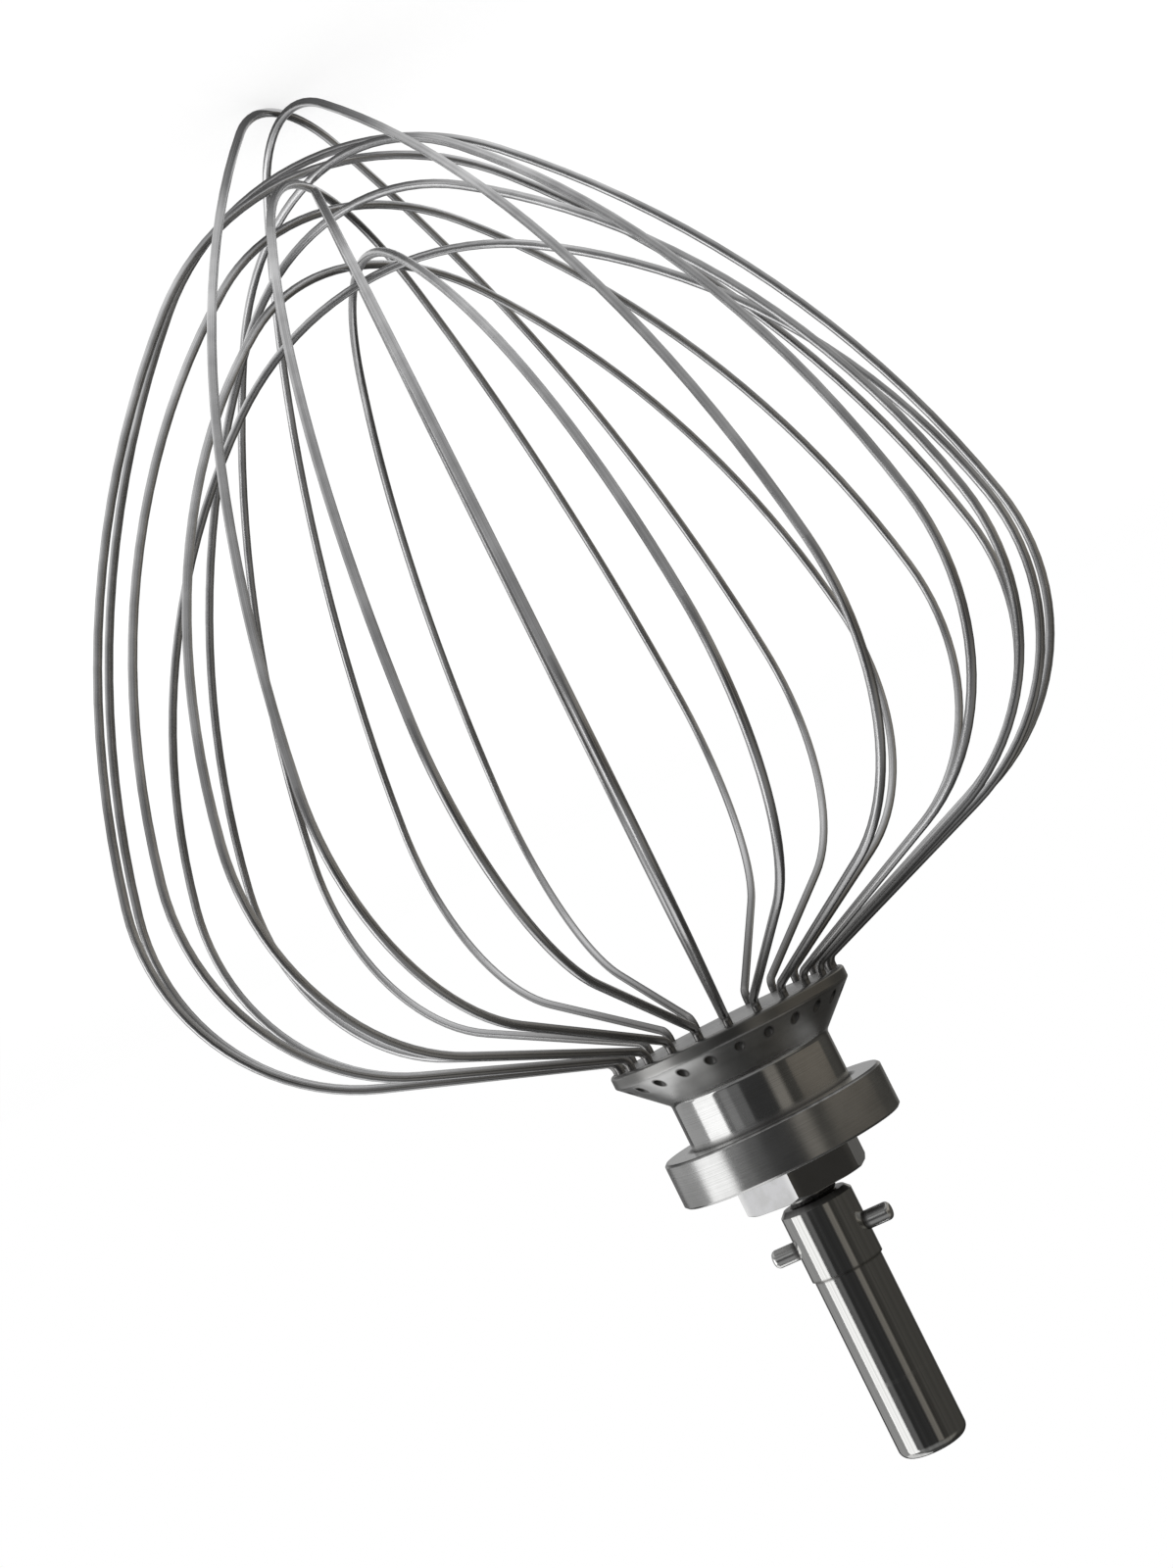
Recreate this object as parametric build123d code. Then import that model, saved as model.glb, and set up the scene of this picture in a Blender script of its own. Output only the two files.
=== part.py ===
from build123d import *
import os
from math import cos, radians, sin, tan

# Stand mixer wire whisk, in millimetres. Z is the drive axis, with the shaft up and the balloon of
# wire loops hanging below it, as in use. The origin is on that axis, at the step where the plain
# shank meets the thicker sleeve length. The cross pin lies along X, in the plane of the first loop.

# Shaft, from its free end down to the threaded stud
SHANK_DIAMETER = 12.3
SHANK_LENGTH = 32.8
SHANK_END_ROUND = 1.7
SLEEVE_DIAMETER = 13.0
SLEEVE_LENGTH = 12.6
SLEEVE_CHAMFER = 0.9
STUD_DIAMETER = 8.0
STUD_CHAMFER = 0.8
NECK_LENGTH = 1.8
STUD_ENGAGEMENT = 14.0
THREAD_CLEARANCE = 0.05

# Cross pin, pressed through the sleeve length
PIN_DIAMETER = 3.2
PIN_LENGTH = 22.2
PIN_END_ROUND = 0.9
PIN_BELOW_STEP = 5.6
PIN_CLEARANCE = 0.02

# Hexagon lock nut, turned about the axis to where it came to rest when it was tightened
NUT_ACROSS_FLATS = 20.5
NUT_HEIGHT = 5.9
NUT_CHAMFER = 1.1
NUT_CHAMFER_ANGLE = 30.0
NUT_TURN = 26.3

# Hub, turned from one bar
HUB_HEIGHT = 25.2
FLANGE_DIAMETER = 43.6
FLANGE_RIM = 2.2
RIM_ROUND = 0.6
CONE_HEIGHT = 6.6
CONE_BLEND = 1.0
BODY_DIAMETER = 29.3
COLLAR_DIAMETER = 40.2
COLLAR_HEIGHT = 8.1
COLLAR_CHAMFER = 0.4
BORE_SPARE = 1.5

# Wire, and the holes inside the flange's rim, where its ends stop short of the cone's surface
WIRE_DIAMETER = 1.5
HOLE_INSET = 1.6
HOLE_CLEARANCE = 0.05
WIRE_END_SUNK = 0.7

# Side form that all the loops share, from the flange outwards
EXIT_RUN = 0.6
BEND_RADIUS = 2.0
BEND_ANGLE = 70.0
OUTWARD_RUN = 36.0
SIDE_RADIUS = 38.5
TAPER_LEAN = 12.0

# Crowns, which cross on the axis. A tier is a group of loops that nest one wire apart, listed from
# the innermost by their place in the ring of holes. Its step is the extra room that it stands off
# the tier inside it, its spread is what it adds to the outward run, and its shoulder is the wire's
# lean where the long taper turns into the crown.
LOWEST_CROWN = 141.0
NEST_GAP = 0.2
TIER_STEPS = (0.0, 7.4, 0.9, 6.7)
TIER_SPREADS = (-1.5, -0.5, 2.0, 0.5)
TIER_SHOULDERS = (55.0, 52.0, 45.0, 50.0)
TIER_LOOPS = (("01", "05", "09"), ("02", "10", "06"), ("07", "03", "11", "12"), ("04", "08"))
LOOP_COUNT = sum(len(tier) for tier in TIER_LOOPS)

# Levels along the axis, and the radius of the hole circle
SLEEVE_FOOT = -SLEEVE_LENGTH
NUT_TOP = SLEEVE_FOOT - NECK_LENGTH
NUT_SEAT = NUT_TOP - NUT_HEIGHT
COLLAR_FOOT = NUT_SEAT - COLLAR_HEIGHT
FLANGE_FACE = NUT_SEAT - HUB_HEIGHT
RIM_TOP = FLANGE_FACE + FLANGE_RIM
CONE_TOP = RIM_TOP + CONE_HEIGHT
STUD_END = NUT_SEAT - STUD_ENGAGEMENT
HOLE_RADIUS = FLANGE_DIAMETER / 2 - HOLE_INSET


def turned(points):
    """A closed outline of radius and height points, turned about the axis."""
    return revolve(Plane.XZ * make_face(Polyline(*points, close=True)), Axis.Z)


def shaft():
    """Stud, sleeve and shank in one turned piece, cross-drilled for the pin."""
    stud = STUD_DIAMETER / 2
    sleeve = SLEEVE_DIAMETER / 2
    shank = SHANK_DIAMETER / 2
    blank = turned([
        (0, STUD_END),
        (stud - STUD_CHAMFER, STUD_END),
        (stud, STUD_END + STUD_CHAMFER),
        (stud, SLEEVE_FOOT),
        (sleeve - SLEEVE_CHAMFER, SLEEVE_FOOT),
        (sleeve, SLEEVE_FOOT + SLEEVE_CHAMFER),
        (sleeve, 0),
        (shank, 0),
        (shank, SHANK_LENGTH),
        (0, SHANK_LENGTH),
    ])
    blank = fillet(blank.edges().group_by(Axis.Z)[-1], SHANK_END_ROUND)
    drill = Cylinder(PIN_DIAMETER / 2 + PIN_CLEARANCE, 2 * SLEEVE_DIAMETER)
    return blank - Pos(0, 0, -PIN_BELOW_STEP) * Rot(0, 90, 0) * drill


def drive_pin():
    """Plain pin with rounded ends, across the sleeve."""
    pin = Cylinder(PIN_DIAMETER / 2, PIN_LENGTH)
    pin = fillet(pin.edges().filter_by(GeomType.CIRCLE), PIN_END_ROUND)
    return Pos(0, 0, -PIN_BELOW_STEP) * Rot(0, 90, 0) * pin


def lock_nut():
    """Hexagon nut on the stud, with its corners chamfered on the shaft's side."""
    sides = 6
    corner = NUT_ACROSS_FLATS / 2 / cos(radians(180 / sides))
    chamfer_drop = NUT_CHAMFER * tan(radians(NUT_CHAMFER_ANGLE))
    blank = extrude(RegularPolygon(corner, sides, rotation=NUT_TURN), NUT_HEIGHT)
    trim = turned([
        (0, 0),
        (corner, 0),
        (corner, NUT_HEIGHT - chamfer_drop),
        (corner - NUT_CHAMFER, NUT_HEIGHT),
        (0, NUT_HEIGHT),
    ])
    bore = Cylinder(STUD_DIAMETER / 2 + THREAD_CLEARANCE, 3 * NUT_HEIGHT)
    return Pos(0, 0, NUT_SEAT) * ((blank & trim) - bore)


def hub():
    """Drilled flange, body and collar in one turned piece, bored for the stud."""
    flange = FLANGE_DIAMETER / 2
    body = BODY_DIAMETER / 2
    collar = COLLAR_DIAMETER / 2
    blank = turned([
        (0, FLANGE_FACE),
        (flange, FLANGE_FACE),
        (flange, RIM_TOP),
        (body, CONE_TOP),
        (body, COLLAR_FOOT),
        (collar - COLLAR_CHAMFER, COLLAR_FOOT),
        (collar, COLLAR_FOOT + COLLAR_CHAMFER),
        (collar, NUT_SEAT - COLLAR_CHAMFER),
        (collar - COLLAR_CHAMFER, NUT_SEAT),
        (0, NUT_SEAT),
    ])
    face_edge, rim_edge = blank.edges().filter_by(GeomType.CIRCLE).sort_by(Axis.Z)[:2]
    blank = fillet([face_edge, rim_edge], RIM_ROUND)
    waist = blank.edges().filter_by(GeomType.CIRCLE).sort_by_distance((body, 0, CONE_TOP))[0]
    blank = fillet(waist, CONE_BLEND)
    up = (Align.CENTER, Align.CENTER, Align.MIN)
    down = (Align.CENTER, Align.CENTER, Align.MAX)
    wire_hole = Cylinder(WIRE_DIAMETER / 2 + HOLE_CLEARANCE, FLANGE_RIM + CONE_HEIGHT, align=up)
    ring = PolarLocations(HOLE_RADIUS, 2 * LOOP_COUNT)
    holes = [Pos(0, 0, FLANGE_FACE) * place * wire_hole for place in ring]
    bore_depth = STUD_ENGAGEMENT + BORE_SPARE
    stud_bore = Cylinder(STUD_DIAMETER / 2 + THREAD_CLEARANCE, bore_depth, align=down)
    return blank - holes - Pos(0, 0, NUT_SEAT) * stud_bore


def crowns():
    """Each loop's number, with its crown's drop below the flange face, its outward run and shoulder."""
    drop = LOWEST_CROWN
    table = {}
    for step, spread, shoulder, loops in zip(TIER_STEPS, TIER_SPREADS, TIER_SHOULDERS, TIER_LOOPS):
        drop += step
        for loop in loops:
            table[loop] = (drop, OUTWARD_RUN + spread, shoulder)
            drop += WIRE_DIAMETER + NEST_GAP
    return table


def crown_radii(reach, depth, shoulder):
    """Radii of the taper and of the crown, tangent to each other at the shoulder.

    The taper starts at the end of the side curve, reach from the axis and depth above the crown's
    level, and the crown crosses the axis square to it.
    """
    lean = radians(TAPER_LEAN)
    turn = radians(shoulder)
    share = (1 - sin(turn)) / cos(turn)
    narrowing = cos(lean) - cos(turn)
    taper = (depth - reach * share) / (sin(turn) - sin(lean) - narrowing * share)
    crown = (reach - taper * narrowing) / cos(turn)
    return taper, crown


def wire_loop(drop, outward_run, shoulder, turn):
    """One wire, bent in a plane through the axis, from one end in the flange to the other."""
    cone_width = (FLANGE_DIAMETER - BODY_DIAMETER) / 2
    wire_end = RIM_TOP + CONE_HEIGHT * HOLE_INSET / cone_width - WIRE_END_SUNK
    leg = Line((HOLE_RADIUS, wire_end), (HOLE_RADIUS, FLANGE_FACE - EXIT_RUN))
    bend = JernArc(leg @ 1, leg % 1, BEND_RADIUS, BEND_ANGLE)
    run = Line(bend @ 1, bend @ 1 + (bend % 1) * outward_run)
    side = JernArc(run @ 1, run % 1, SIDE_RADIUS, -BEND_ANGLE - TAPER_LEAN)
    side_end = side @ 1
    crown_level = FLANGE_FACE - drop
    taper_radius, crown_radius = crown_radii(side_end.X, side_end.Y - crown_level, shoulder)
    taper = JernArc(side_end, side % 1, taper_radius, TAPER_LEAN - shoulder)
    crown = JernArc(taper @ 1, taper % 1, crown_radius, 2 * shoulder - 180)
    half = [leg, bend, run, side, taper]
    far_half = [edge.mirror(Plane.YZ) for edge in half]
    route = Wire([*half, crown, *far_half])
    section = Plane(leg @ 0, z_dir=leg % 0) * Circle(WIRE_DIAMETER / 2)
    return Rot(0, 0, turn) * Rot(90, 0, 0) * sweep(section, path=route)


pieces = {"shaft": shaft(), "drive_pin": drive_pin(), "lock_nut": lock_nut(), "hub": hub()}
for loop, form in sorted(crowns().items()):
    pieces["wire_loop_" + loop] = wire_loop(*form, (int(loop) - 1) * 180 / LOOP_COUNT)

os.makedirs("parts", exist_ok=True)
for name, piece in pieces.items():
    export_step(piece, f"parts/{name}.step")
    print(name, round(piece.volume, 2))
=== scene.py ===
from math import cos, pi, radians, sin, tan
import bmesh
import bpy
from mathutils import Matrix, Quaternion, Vector


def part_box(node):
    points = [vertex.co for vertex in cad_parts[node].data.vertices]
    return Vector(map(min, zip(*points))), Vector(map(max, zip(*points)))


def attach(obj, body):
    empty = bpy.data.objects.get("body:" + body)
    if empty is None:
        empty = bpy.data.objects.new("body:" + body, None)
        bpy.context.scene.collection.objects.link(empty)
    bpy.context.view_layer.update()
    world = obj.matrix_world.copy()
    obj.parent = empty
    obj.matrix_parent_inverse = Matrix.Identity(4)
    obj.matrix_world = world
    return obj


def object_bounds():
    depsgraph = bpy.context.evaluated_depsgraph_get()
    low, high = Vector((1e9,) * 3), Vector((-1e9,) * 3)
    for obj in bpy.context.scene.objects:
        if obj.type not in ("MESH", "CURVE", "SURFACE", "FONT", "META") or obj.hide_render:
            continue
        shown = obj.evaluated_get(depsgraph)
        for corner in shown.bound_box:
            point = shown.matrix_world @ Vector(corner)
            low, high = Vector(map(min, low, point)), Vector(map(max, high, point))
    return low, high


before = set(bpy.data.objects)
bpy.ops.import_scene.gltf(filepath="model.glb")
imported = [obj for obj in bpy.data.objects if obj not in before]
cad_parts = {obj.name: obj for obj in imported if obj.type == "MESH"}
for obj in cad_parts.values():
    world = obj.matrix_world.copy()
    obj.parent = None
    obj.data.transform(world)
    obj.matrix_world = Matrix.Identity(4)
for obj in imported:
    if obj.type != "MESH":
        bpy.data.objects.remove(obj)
cad_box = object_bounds()


# Shaft. One turned bar of stainless steel: a plain shank that slides up into the mixer's socket, a
# slightly thicker sleeve that carries the cross pin, and a threaded stud that screws into the hub.
# It is ground round its girth and polished, so that it mirrors the room in crisp bands.
class Shade:
    """A value in a material's nodes. Arithmetic on it adds Math nodes."""

    def __init__(self, tree, socket=None):
        self.tree = tree
        self.socket = socket

    def node(self, kind, settings, sockets, output=0):
        """A node of any kind, with its settings set first and then its sockets set or linked."""
        made = self.tree.nodes.new("ShaderNode" + kind)
        for name, value in settings.items():
            setattr(made, name, value)
        for name, value in sockets.items():
            if isinstance(value, Shade):
                self.tree.links.new(value.socket, made.inputs[name])
            else:
                made.inputs[name].default_value = value
        return Shade(self.tree, made.outputs[output] if made.outputs else None)

    def math(self, operation, first, second=0.0):
        """A Math node on one or two values or numbers."""
        return self.node("Math", {"operation": operation}, {0: first, 1: second})

    def __add__(self, other):
        return self.math("ADD", self, other)

    def __radd__(self, other):
        return self.math("ADD", other, self)

    def __sub__(self, other):
        return self.math("SUBTRACT", self, other)

    def __rsub__(self, other):
        return self.math("SUBTRACT", other, self)

    def __mul__(self, other):
        return self.math("MULTIPLY", self, other)

    def __rmul__(self, other):
        return self.math("MULTIPLY", other, self)

    def __pow__(self, other):
        return self.math("POWER", self, other)

    def __abs__(self):
        return self.math("ABSOLUTE", self)

    def ramp(self, start, end):
        """0 at start and 1 at end, smooth between them and level beyond."""
        sockets = {"Value": self, "From Min": start, "From Max": end}
        return self.node("MapRange", {"interpolation_type": "SMOOTHSTEP"}, sockets)

    def blend(self, low, high):
        """The colour that is this value's share of the way from low to high."""
        # A Mix node takes its two colours in sockets 6 and 7, and gives a colour from output 2
        return self.node("Mix", {"data_type": "RGBA"}, {0: self, 6: low, 7: high}, 2)

    def grain(self, waves, detail):
        """Noise along this value alone, with that many waves to each unit of it."""
        sockets = {"W": self, "Scale": waves, "Detail": detail}
        return self.node("TexNoise", {"noise_dimensions": "1D"}, sockets)

    def cloud(self, waves, detail):
        """Noise in all directions, with that many waves to the metre."""
        point = self.node("TexCoord", {}, {}, "Object")
        return self.node("TexNoise", {}, {"Vector": point, "Scale": waves, "Detail": detail})


def new_finish(name):
    """A new material, with X, Y, Z and the distance from the drive axis as values in it."""
    material = bpy.data.materials.new(name)
    material.use_nodes = True
    material.node_tree.nodes.clear()
    start = Shade(material.node_tree)
    point = start.node("TexCoord", {}, {}, "Object")
    x, y, z = (start.node("SeparateXYZ", {}, {"Vector": point}, axis) for axis in "XYZ")
    return material, x, y, z, (x * x + y * y) ** 0.5


def bare_metal(value, colour, roughness, relief, depth):
    """Closes a material as bare metal, with its relief cut to that depth."""
    normal = value.node("Bump", {}, {"Height": relief, "Distance": depth, "Strength": 1.0})
    sockets = {"Base Color": colour, "Roughness": roughness, "Metallic": 1.0, "Normal": normal}
    surface = value.node("BsdfPrincipled", {}, sockets)
    value.node("OutputMaterial", {}, {"Surface": surface})


def dress(node, material):
    """Gives a node of the frame its material."""
    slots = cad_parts[node].data.materials
    slots.clear()
    slots.append(material)


MM = 0.001
shank_bright = (0.58, 0.58, 0.57, 1.0)
shank_dull = (0.47, 0.47, 0.46, 1.0)
shaft_painted_shade = (0.13, 0.125, 0.12, 1.0)
# A polish is the roughness of clean metal, and a haze is what a mark adds to it
shaft_polish = 0.08
streak_waves = 9.0
streak_contrast = (0.35, 0.7)
streak_haze = 0.06
grinding_waves = 9000.0
grinding_depth = 0.0004 * MM
rub_level = 17 * MM
rub_reach = 9 * MM
scuff_waves = 700.0
scuff_contrast = (0.52, 0.68)
scuff_haze = 0.07
step_width = 0.5 * MM
step_shade = 0.85
sleeve_foot = -12.6 * MM
foot_width = 1.2 * MM
foot_shade = 0.7
shaft_shade_haze = 0.2
face_start = 0.15 * MM
face_full = 0.05 * MM
shank_face_haze = 0.28
shank_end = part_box("shaft")[1].z

shaft_steel, x, y, z, radius = new_finish("shaft_steel")
streaks = x.math("ARCTAN2", y, x).grain(streak_waves, detail=4.0)
grinding = z.grain(grinding_waves, detail=2.0)
scuffs = z.grain(scuff_waves, detail=5.0).ramp(*scuff_contrast) * abs(z - rub_level).ramp(rub_reach, 0.0)
# Painted shade: a dark band at the step to the shank and at the sleeve's foot above the nut
in_step = abs(z).ramp(step_width, 0.0)
at_foot = z.ramp(sleeve_foot + foot_width, sleeve_foot)
painted_shade = x.math("MAXIMUM", in_step * step_shade, at_foot * foot_shade)
faced = z.ramp(shank_end - face_start, shank_end - face_full)
tone = streaks.ramp(*streak_contrast).blend(shank_dull, shank_bright)
tone = painted_shade.blend(tone, shaft_painted_shade)
roughness = shaft_polish + streak_haze * streaks + scuff_haze * scuffs
roughness = roughness + shaft_shade_haze * painted_shade + shank_face_haze * faced
bare_metal(z, tone, roughness, grinding, grinding_depth)
dress("shaft", shaft_steel)


# Cross pin. A short length of ground steel rod with rounded ends, pressed through the sleeve. Its two
# stubs lock in the slots of the mixer's socket, which leave them a little dull.
pin_bright = (0.76, 0.76, 0.75, 1.0)
pin_painted_shade = (0.12, 0.115, 0.11, 1.0)
pin_polish = 0.15
sleeve_radius = 6.5 * MM
pin_shade_reach = 0.9 * MM
pin_shade_share = 0.9
pin_shade_haze = 0.2
rub_waves = 900.0
rub_haze = 0.14
ring_waves = 7000.0
ring_depth = 0.0006 * MM

pin_steel, x, y, z, radius = new_finish("pin_steel")
# Painted shade: the pin is darkened where it goes into the sleeve
at_sleeve = abs(x).ramp(sleeve_radius + pin_shade_reach, sleeve_radius)
rings = x.grain(ring_waves, detail=2.0)
rubbed = x.cloud(rub_waves, detail=4.0)
tone = (at_sleeve * pin_shade_share).blend(pin_bright, pin_painted_shade)
roughness = pin_polish + rub_haze * rubbed + pin_shade_haze * at_sleeve
bare_metal(x, tone, roughness, rings, ring_depth)
dress("drive_pin", pin_steel)


# Lock nut. A hexagon nut of dark satin steel, tightened against the collar to stop the shaft from
# unscrewing. The spanner has worn its corners bright.
nut_satin = (0.36, 0.36, 0.365, 1.0)
nut_stain = (0.33, 0.33, 0.33, 1.0)
nut_worn = (0.46, 0.46, 0.46, 1.0)
nut_polish = 0.13
nut_corner = 11.84 * MM
worn_width = 0.7 * MM
worn_haze = 0.04
blotch_waves = 420.0
blotch_contrast = (0.4, 0.65)
blotch_haze = 0.06
pit_waves = 2600.0
pit_depth = 0.003 * MM
nut_face_haze = 0.25
nut_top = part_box("lock_nut")[1].z

nut_steel, x, y, z, radius = new_finish("nut_steel")
blotches = x.cloud(blotch_waves, detail=5.0)
pits = x.cloud(pit_waves, detail=3.0)
worn = radius.ramp(nut_corner - worn_width, nut_corner)
faced = z.ramp(nut_top - face_start, nut_top - face_full)
tone = blotches.ramp(*blotch_contrast).blend(nut_satin, nut_stain)
tone = worn.blend(tone, nut_worn)
roughness = nut_polish + blotch_haze * blotches + worn_haze * worn + nut_face_haze * faced
bare_metal(x, tone, roughness, pits, pit_depth)
dress("lock_nut", nut_steel)


# Stud thread. The bit of screw thread that shows in the neck between the nut and the sleeve, rolled on
# the steel stud itself and dull with old grease.
thread_dry = (0.24, 0.235, 0.23, 1.0)
thread_grease = (0.09, 0.09, 0.09, 1.0)
thread_polish = 0.3
grease_waves = 2500.0
grease_contrast = (0.35, 0.65)
grease_haze = 0.2
grease_depth = 0.004 * MM
thread_pitch = 1.25 * MM
thread_root = 3.9 * MM
thread_crest = 4.4 * MM
thread_flank = 0.48 * thread_pitch
thread_outline = ((thread_root, -thread_flank), (thread_crest, 0.0), (thread_root, thread_flank))
thread_start = nut_top - thread_pitch
thread_end = sleeve_foot + thread_pitch
steps_a_turn = 64

thread_steel, x, y, z, radius = new_finish("thread_steel")
grease = z.cloud(grease_waves, detail=4.0)
tone = grease.ramp(*grease_contrast).blend(thread_dry, thread_grease)
bare_metal(z, tone, thread_polish + grease_haze * grease, grease, grease_depth)

ridge = bmesh.new()
sections = []
step_count = int(steps_a_turn * (thread_end - thread_start) / thread_pitch)
for step in range(step_count + 1):
    turn = 2 * pi * step / steps_a_turn
    level = thread_start + thread_pitch * step / steps_a_turn
    sections.append([
        ridge.verts.new((reach * cos(turn), reach * sin(turn), level + rise))
        for reach, rise in thread_outline
    ])
for low, high in zip(sections, sections[1:]):
    for side in range(len(thread_outline)):
        after = (side + 1) % len(thread_outline)
        ridge.faces.new((low[side], low[after], high[after], high[side]))
ridge.faces.new(reversed(sections[0]))
ridge.faces.new(sections[-1])
bmesh.ops.recalc_face_normals(ridge, faces=ridge.faces)
thread_mesh = bpy.data.meshes.new("stud_thread")
ridge.to_mesh(thread_mesh)
ridge.free()
thread_mesh.materials.append(thread_steel)
thread = bpy.data.objects.new("stud_thread", thread_mesh)
bpy.context.scene.collection.objects.link(thread)
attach(thread, "root")


# Hub. Turned from one bar of light alloy and screwed onto the stud: a flange drilled for the wires, a cone,
# a body that is polished brightest, and a collar. Shade is painted round the holes, under the collar and
# along the collar's lower edge, the flange's rim is stained, and the collar's upper edge is worn bright.
hub_bright = (0.60, 0.60, 0.595, 1.0)
hub_dull = (0.46, 0.46, 0.455, 1.0)
hub_worn = (0.72, 0.72, 0.715, 1.0)
hub_painted_shade = (0.07, 0.068, 0.065, 1.0)
rim_stain = (0.2, 0.197, 0.19, 1.0)
collar_edge_shade = (0.11, 0.108, 0.105, 1.0)
hub_polish = 0.09
flange_radius = 21.8 * MM
body_radius = 14.65 * MM
collar_radius = 20.1 * MM
collar_height = 8.1 * MM
collar_line = 0.1 * MM
collar_haze = 0.1
cone_height = 6.6 * MM
cone_fade = 1.0 * MM
flange_haze = 0.16
rim_height = 2.2 * MM
rim_stain_start = 1.3 * rim_height
rim_stain_full = 0.7 * rim_height
rim_stain_share = 0.8
edge_width = 0.45 * MM
edge_wear_share = 0.7
edge_shade_share = 0.95
hole_count = 24
hole_circle = 20.2 * MM
hole_radius = 0.8 * MM
hole_shade_width = 0.4 * MM
corner_shade_width = 1.3 * MM
corner_shade_share = 0.8
hub_shade_share = 0.8
hub_shade_haze = 0.3
lathe_waves = 6000.0
lathe_share = 0.3
lathe_depth = 0.0012 * MM
handling_waves = 160.0
handling_share = 0.4
handling_haze = 0.07
smear_waves = 45.0
smear_share = 0.3
hub_contrast = (0.38, 0.62)
hub_face_start = 0.12 * MM
hub_face_full = 0.04 * MM
hub_face_haze = 0.23
hub_low, hub_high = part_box("hub")
collar_foot = hub_high.z - collar_height
rim_top = hub_low.z + rim_height
cone_top = rim_top + cone_height

hub_metal, x, y, z, radius = new_finish("hub_metal")
on_collar = z.ramp(collar_foot - collar_line, collar_foot + collar_line)
on_flange = z.ramp(cone_top, cone_top - cone_fade)
on_rim = z.ramp(hub_low.z + rim_stain_start, hub_low.z + rim_stain_full)
lathe = (z + radius).grain(lathe_waves, detail=3.0)
handling = x.cloud(handling_waves, detail=6.0)
smears = x.cloud(smear_waves, detail=3.0)
share_of_turn = x.math("ARCTAN2", y, x) * (hole_count / (2 * pi))
from_hole = (share_of_turn - x.math("ROUND", share_of_turn)) * (2 * pi * hole_circle / hole_count)
to_hole = ((radius - hole_circle) ** 2.0 + from_hole * from_hole) ** 0.5
# Painted shade: dark rings round the holes, and a dark band in the corner under the collar
round_holes = to_hole.ramp(hole_radius + hole_shade_width, hole_radius) * on_flange
by_body = radius.ramp(body_radius + corner_shade_width, body_radius)
under_collar = abs(z - collar_foot).ramp(corner_shade_width, 0.0) * by_body
painted_shade = x.math("MAXIMUM", round_holes, under_collar * corner_shade_share)
at_collar_edge = radius.ramp(collar_radius - 2 * edge_width, collar_radius - edge_width)
worn = z.ramp(hub_high.z - edge_width, hub_high.z) * at_collar_edge
# Painted shade: a dark line along the collar's lower outer edge
under_edge = abs(z - collar_foot).ramp(edge_width, 0.0) * at_collar_edge
stained = radius.ramp(flange_radius - 2 * edge_width, flange_radius - edge_width) * on_rim
faced = z.ramp(hub_high.z - hub_face_start, hub_high.z - hub_face_full)
patina = lathe_share * lathe + handling_share * handling + smear_share * smears
tone = patina.ramp(*hub_contrast).blend(hub_dull, hub_bright)
tone = (worn * edge_wear_share).blend(tone, hub_worn)
tone = (stained * rim_stain_share).blend(tone, rim_stain)
tone = (under_edge * edge_shade_share).blend(tone, collar_edge_shade)
tone = (painted_shade * hub_shade_share).blend(tone, hub_painted_shade)
roughness = hub_polish + collar_haze * on_collar + hub_face_haze * faced + flange_haze * on_flange
roughness = roughness + handling_haze * handling + hub_shade_haze * painted_shade
bare_metal(x, tone, roughness, lathe, lathe_depth)
dress("hub", hub_metal)


# Wire loops. Twelve lengths of hard drawn stainless wire, polished, bent on formers and nested so that
# their crowns cross on the axis. Die marks run along each wire. Its ends are brazed into the flange, and
# the heat has left them sooty where they go in; each wire is also darker towards the flange.
wire_bright = (0.70, 0.70, 0.705, 1.0)
wire_dull = (0.40, 0.40, 0.405, 1.0)
wire_near_flange = (0.17, 0.165, 0.16, 1.0)
wire_sooty = (0.035, 0.034, 0.033, 1.0)
wire_braze = (0.3, 0.295, 0.28, 1.0)
wire_polish = 0.19
die_waves = 7000.0
die_share = 0.5
die_haze = 0.06
die_depth = 0.001 * MM
patch_waves = 60.0
patch_slant = 0.6
patch_share = 0.5
patch_haze = 0.1
wire_contrast = (0.35, 0.65)
darkening_start = 8 * MM
darkening_end = 48 * MM
darkening_share = 0.8
soot_reach = 1.2 * MM
soot_haze = 0.15
braze_depth = 0.4 * MM
loop_names = sorted(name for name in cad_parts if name.startswith("wire_loop_"))

for number, name in enumerate(loop_names):
    wire_steel, x, y, z, radius = new_finish("wire_steel_" + name[-2:])
    turn = number * pi / len(loop_names)
    across = y * cos(turn) - x * sin(turn)
    die_marks = across.grain(die_waves, detail=3.0)
    patches = (z + patch_slant * radius).grain(patch_waves, detail=4.0)
    from_flange = ((radius - hole_circle) ** 2.0 + (z - hub_low.z) ** 2.0) ** 0.5
    # Each wire is darker towards the flange, fully so within 8 mm of it and fading out by 48 mm
    darker_to_flange = from_flange.ramp(darkening_end, darkening_start)
    sooty = z.ramp(hub_low.z - soot_reach, rim_top)
    brazed = z.ramp(rim_top, rim_top + braze_depth)
    patina = die_share * die_marks + patch_share * patches
    tone = patina.ramp(*wire_contrast).blend(wire_dull, wire_bright)
    tone = (darker_to_flange * darkening_share).blend(tone, wire_near_flange)
    tone = sooty.blend(tone, wire_sooty)
    tone = brazed.blend(tone, wire_braze)
    roughness = wire_polish + patch_haze * patches + die_haze * die_marks + soot_haze * sooty
    bare_metal(x, tone, roughness, die_marks, die_depth)
    dress(name, wire_steel)


# Floor. A plain white sheet that the lowest crown of the balloon just touches. It shows white to the
# camera and keeps a soft shadow of the wires.
floor_level = cad_box[0].z
floor_reach = 2.5
floor_glow = 0.75
floor_white = (0.985, 0.985, 0.985, 1.0)
glow_white = (1.0, 1.0, 1.0, 1.0)

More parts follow.
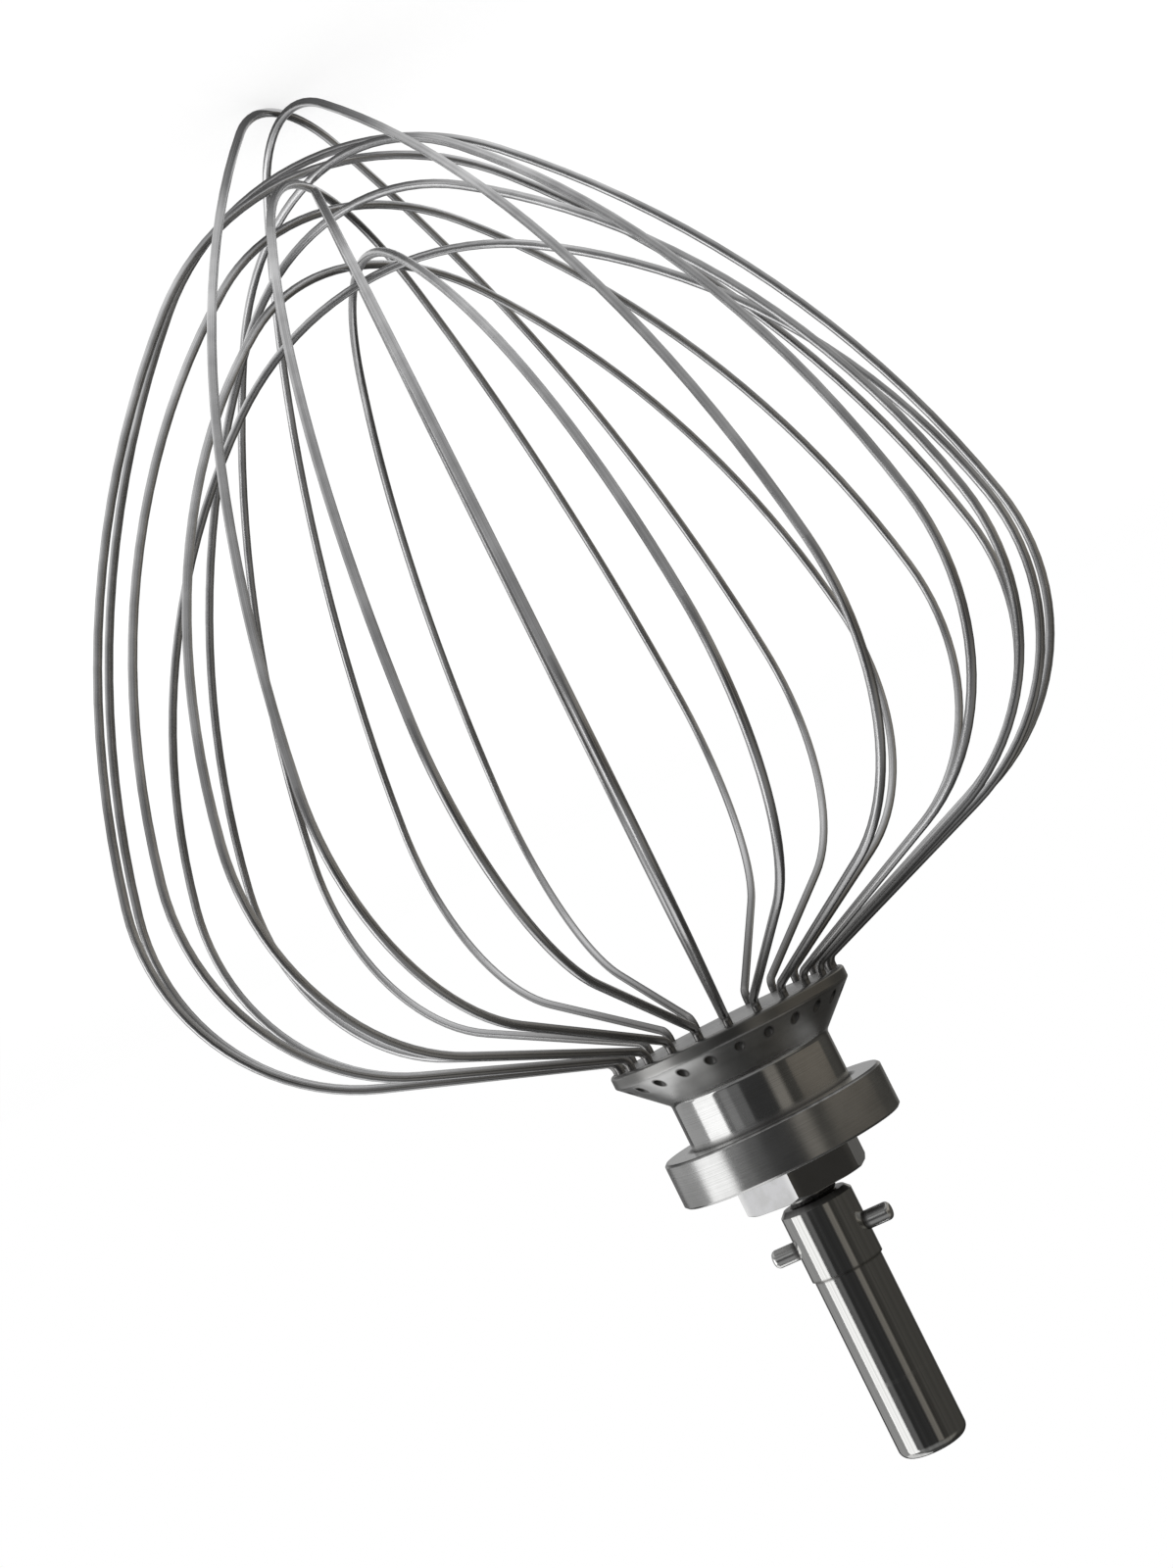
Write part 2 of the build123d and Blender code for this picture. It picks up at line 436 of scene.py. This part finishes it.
floor_paint = bpy.data.materials.new("floor_paint")
floor_paint.use_nodes = True
floor_paint.node_tree.nodes.clear()
start = Shade(floor_paint.node_tree)
seen = start.node("LightPath", {}, {}, "Is Camera Ray")
for ray in ("Is Glossy Ray", "Is Transmission Ray"):
    seen = start.math("MAXIMUM", seen, start.node("LightPath", {}, {}, ray))
paint = start.node("BsdfDiffuse", {}, {"Color": floor_white})
glow = start.node("Emission", {}, {"Color": glow_white, "Strength": 1.0})
surface = start.node("MixShader", {}, {0: seen * floor_glow, 1: paint, 2: glow})
start.node("OutputMaterial", {}, {"Surface": surface})

floor_mesh = bpy.data.meshes.new("floor")
floor_signs = ((-1, -1), (1, -1), (1, 1), (-1, 1))
floor_corners = [(a * floor_reach, b * floor_reach, floor_level) for a, b in floor_signs]
floor_mesh.from_pydata(floor_corners, [], [(0, 1, 2, 3)])
floor_mesh.materials.append(floor_paint)
floor = bpy.data.objects.new("floor", floor_mesh)
bpy.context.scene.collection.objects.link(floor)


# Room. A white room, and in it a tent of dark cloth over a pale card, which only the polished metal
# mirrors, as it mirrors cards in a studio. The cloth is lighter above the front and behind. The card lies
# over the floor, with a white pool behind the drive axis and a painted shadow, a dark spot, under the
# balloon's tip.
def between(share, low, high):
    """The number that is this share of the way from low to high."""
    return low + share * (high - low)


view_azimuth = radians(74.92)
tent_radius = 1.3
tent_lift = 1 * MM
no_glow = (0.0, 0.0, 0.0, 1.0)
warm_glow = (1.0, 0.96, 0.87, 1.0)

# How much each part of the cloth and of the card glows, where 1 is white
cloth_in_front = 0.043
cloth_on_right = 0.08
cloth_above_front = 0.25
cloth_overhead = 0.08
cloth_behind = 0.2
card_on_left = 0.8
card_on_right = 0.55
card_in_front = 0.42
card_outside = 0.12
card_aside = 0.32
card_pool = 1.0
card_shadow_at_tip = 0.12
card_behind = 0.5

# Where each part of the tent starts and where it is full, from the tent's middle on the floor
right_part = (-0.45 * tent_radius, -0.8 * tent_radius)
warm_part = (0.0, -0.6 * tent_radius)
front_part = (-0.1 * tent_radius, 0.25 * tent_radius)
back_part = (-0.80 * tent_radius, -0.95 * tent_radius)
upper_part = (0.48 * tent_radius, 0.68 * tent_radius)
top_part = (0.9 * tent_radius, 0.98 * tent_radius)
lowest_part = (0.14 * tent_radius, 0.04 * tent_radius)
low_back_part = (-0.5 * tent_radius, -0.8 * tent_radius)
side_part = (0.12 * tent_radius, 0.4 * tent_radius)
card_reach = 0.14
left_part = (-card_reach, card_reach)
outside_part = (card_reach, 0.42)
near_front_part = (0.02, 0.1)
pool_setback = 0.04
pool_part = (0.13, 0.04)
tip_shadow_part = (0.042, 0.01)

world = bpy.data.worlds.new("white_room")
world.use_nodes = True
world.node_tree.nodes["Background"].inputs["Color"].default_value = glow_white
world.node_tree.nodes["Background"].inputs["Strength"].default_value = 1.0
world.cycles.sampling_method = "NONE"
bpy.context.scene.world = world

tent_cloth = bpy.data.materials.new("tent_cloth")
tent_cloth.use_nodes = True
tent_cloth.node_tree.nodes.clear()
start = Shade(tent_cloth.node_tree)
point = start.node("TexCoord", {}, {}, "Object")
to_front, to_left, up = (start.node("SeparateXYZ", {}, {"Vector": point}, axis) for axis in "XYZ")
from_axis = (to_front * to_front + to_left * to_left) ** 0.5
from_pool = ((to_front + pool_setback) ** 2.0 + to_left * to_left) ** 0.5
above_front = up.ramp(*upper_part) * to_front.ramp(*front_part)
cloth = between(to_left.ramp(*right_part), cloth_in_front, cloth_on_right)
cloth = between(above_front, cloth, cloth_above_front)
cloth = between(up.ramp(*top_part), cloth, cloth_overhead)
cloth = between(to_front.ramp(*back_part), cloth, cloth_behind)
outside = between(abs(to_left).ramp(*side_part), card_outside, card_aside)
card = between(to_left.ramp(*left_part), card_on_right, card_on_left)
card = between(to_front.ramp(*near_front_part), card, card_in_front)
card = between(from_axis.ramp(*outside_part), card, outside)
card = between(from_pool.ramp(*pool_part), card, card_pool)
# Painted shadow: the card is dark under the balloon's tip
card = between(from_axis.ramp(*tip_shadow_part), card, card_shadow_at_tip)
card = between(to_front.ramp(*low_back_part), card, card_behind)
strength = between(up.ramp(*lowest_part), cloth, card)
tint = to_left.ramp(*warm_part).blend(glow_white, warm_glow)
shown = strength.blend(no_glow, tint)
glow = start.node("Emission", {}, {"Color": shown, "Strength": 1.0})
start.node("OutputMaterial", {}, {"Surface": glow})

tent_shape = bmesh.new()
bmesh.ops.create_uvsphere(tent_shape, u_segments=64, v_segments=32, radius=tent_radius)
for corner in tent_shape.verts:
    corner.co.z = max(corner.co.z, 0.0)
tent_mesh = bpy.data.meshes.new("tent")
tent_shape.to_mesh(tent_mesh)
tent_shape.free()
tent_mesh.materials.append(tent_cloth)
tent = bpy.data.objects.new("tent", tent_mesh)
tent.location = (0, 0, floor_level + tent_lift)
tent.rotation_euler = (0, 0, view_azimuth)
for rays in ("camera", "diffuse", "transmission", "volume_scatter", "shadow"):
    setattr(tent, "visible_" + rays, False)
bpy.context.scene.collection.objects.link(tent)


# Lights. A tall window of soft light on the left of the camera, with a dimmer panel on each side of it and
# a low card towards the camera. A softbox hangs overhead behind the whisk. On the right is a dim warm card
# in two widths, so that its edges are soft, and further round a long low one.
hub_middle = (hub_low.z + hub_high.z) / 2
daylight = (1.0, 1.0, 1.0)
warm_white = (1.0, 0.93, 0.82)
lamplight = (1.0, 0.86, 0.68)


def softbox(name, colour, swing, lift, away, spread, tall, glow):
    """A soft light that faces the hub, away metres from it, tall metres high and as bright as glow.

    It is swung to the left of the camera and lifted from level by those angles in degrees, and seen
    from the hub it reaches spread degrees to each side of its middle.
    """
    width = 2 * away * tan(radians(spread))
    lamp = bpy.data.lights.new(name, "AREA")
    lamp.shape = "RECTANGLE"
    lamp.size = width
    lamp.size_y = tall
    lamp.energy = glow * pi * width * tall
    lamp.color = colour
    azimuth = view_azimuth + radians(swing)
    level = cos(radians(lift))
    out = Vector((cos(azimuth) * level, sin(azimuth) * level, sin(radians(lift))))
    box = bpy.data.objects.new(name, lamp)
    box.location = Vector((0, 0, hub_middle)) + out * away
    box.rotation_mode = "QUATERNION"
    box.rotation_quaternion = out.to_track_quat("Z", "Y")
    bpy.context.scene.collection.objects.link(box)


softbox("left_window", daylight, swing=80, lift=12, away=0.95, spread=18, tall=0.9, glow=1.6)
softbox("window_far_panel", daylight, swing=122, lift=12, away=1.0, spread=25, tall=0.9, glow=0.40)
softbox("window_near_panel", daylight, swing=53, lift=12, away=1.0, spread=13, tall=0.9, glow=0.12)
softbox("low_card", daylight, swing=38, lift=-4, away=1.0, spread=15, tall=0.4, glow=0.12)
softbox("overhead", daylight, swing=125, lift=57, away=1.05, spread=24, tall=0.85, glow=0.95)
softbox("right_card", warm_white, swing=-22, lift=5, away=0.95, spread=7, tall=0.7, glow=0.11)
softbox("right_card_wide", warm_white, swing=-22, lift=5, away=0.96, spread=10, tall=0.75, glow=0.09)
softbox("far_right_card", lamplight, swing=-80, lift=-3, away=0.95, spread=33, tall=0.3, glow=0.12)


# Camera, at the photograph's angle: from the side, raised a little towards the shaft's end, and rolled
# over so that the shaft points down to the right.
view_elevation = radians(3.82)
view_roll = radians(153.65)
view_distance = 408.0 * MM
view_aim = Vector((-3.23, 0.87, -91.73)) * MM
lens_length = 55.17
nearest_shown = 10 * MM

camera_data = bpy.data.cameras.new("camera")
camera_data.lens = lens_length
camera_data.clip_start = nearest_shown
camera = bpy.data.objects.new("camera", camera_data)
level = cos(view_elevation)
back = Vector((cos(view_azimuth) * level, sin(view_azimuth) * level, sin(view_elevation)))
camera.location = view_aim + back * view_distance
camera.rotation_mode = "QUATERNION"
camera.rotation_quaternion = back.to_track_quat("Z", "Y") @ Quaternion((0, 0, 1), view_roll)
bpy.context.scene.collection.objects.link(camera)
bpy.context.scene.camera = camera
bpy.context.scene.view_settings.view_transform = "Standard"
